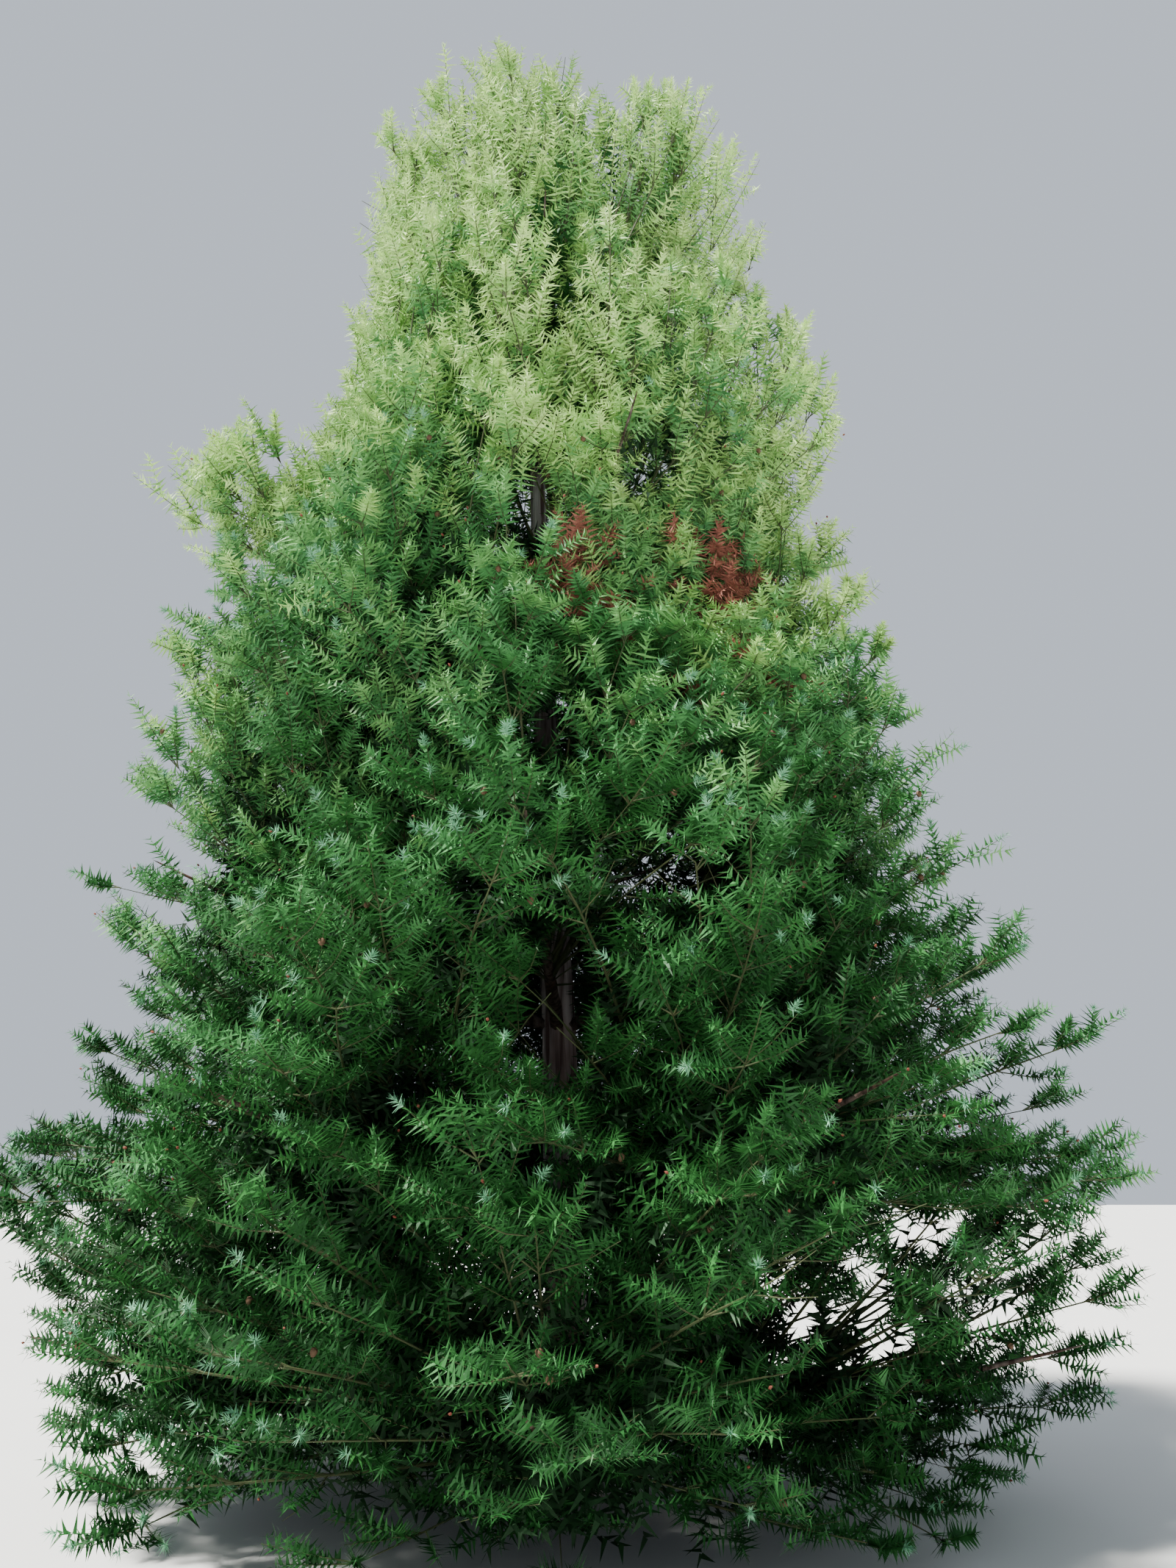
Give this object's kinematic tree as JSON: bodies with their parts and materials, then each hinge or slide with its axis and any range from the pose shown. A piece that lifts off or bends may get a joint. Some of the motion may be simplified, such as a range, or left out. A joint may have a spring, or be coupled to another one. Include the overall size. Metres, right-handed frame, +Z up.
{
  "type": "china fir tree",
  "caption": "Open-grown conifer branched almost to the ground: a leaning trunk, tiers of rising boughs with layered flat needle sprays, a divided blunt head and a few dead limbs.",
  "frame": {"origin": "middle of the trunk's flat cut at ground level", "axes": "+Z up along the trunk's foot, +X towards the second leader, -Y the side that the picture shows"},
  "size_m": [5.7698, 6.0156, 9.3805],
  "materials": {
    "bark": "rough, furrowed and peeling in strips",
    "needles": "satin living needles",
    "dead_needles": "matte dry needles"
  },
  "bodies": {
    "root": {"trunk": "bark", "bough_1_1": "bark", "bough_1_2": "bark", "bough_1_3": "bark", "bough_1_4": "bark", "bough_1_5": "bark", "bough_2_1": "bark", "bough_2_2": "bark", "bough_2_3": "bark", "bough_2_4": "bark", "bough_2_5": "bark", "bough_3_1": "bark", "bough_3_2": "bark", "bough_3_3": "bark", "bough_3_4": "bark", "bough_3_5": "bark", "bough_4_1": "bark", "bough_4_2": "bark", "bough_4_3": "bark", "bough_4_4": "bark", "bough_5_1": "bark", "bough_5_2": "bark", "bough_5_3": "bark", "bough_5_4": "bark", "bough_6_1": "bark", "bough_6_2": "bark", "bough_6_3": "bark", "second_leader": "bark", "dead_bough": "bark", "bare_bough_1": "bark", "bare_bough_2": "bark", "foliage_1_1": "needles", "foliage_1_2": "needles", "foliage_1_3": "needles", "foliage_1_4": "needles", "foliage_1_5": "needles", "foliage_2_1": "needles", "foliage_2_2": "needles", "foliage_2_3": "needles", "foliage_2_4": "needles", "foliage_2_5": "needles", "foliage_3_1": "needles", "foliage_3_2": "needles", "foliage_3_3": "needles", "foliage_3_4": "needles", "foliage_3_5": "needles", "foliage_4_1": "needles", "foliage_4_2": "needles", "foliage_4_3": "needles", "foliage_4_4": "needles", "foliage_5_1": "needles", "foliage_5_2": "needles", "foliage_5_3": "needles", "foliage_5_4": "needles", "foliage_6_1": "needles", "foliage_6_2": "needles", "foliage_6_3": "needles", "foliage_second_leader": "needles", "foliage_head": "needles", "dead_foliage": "dead_needles"}
  },
  "joints": []
}
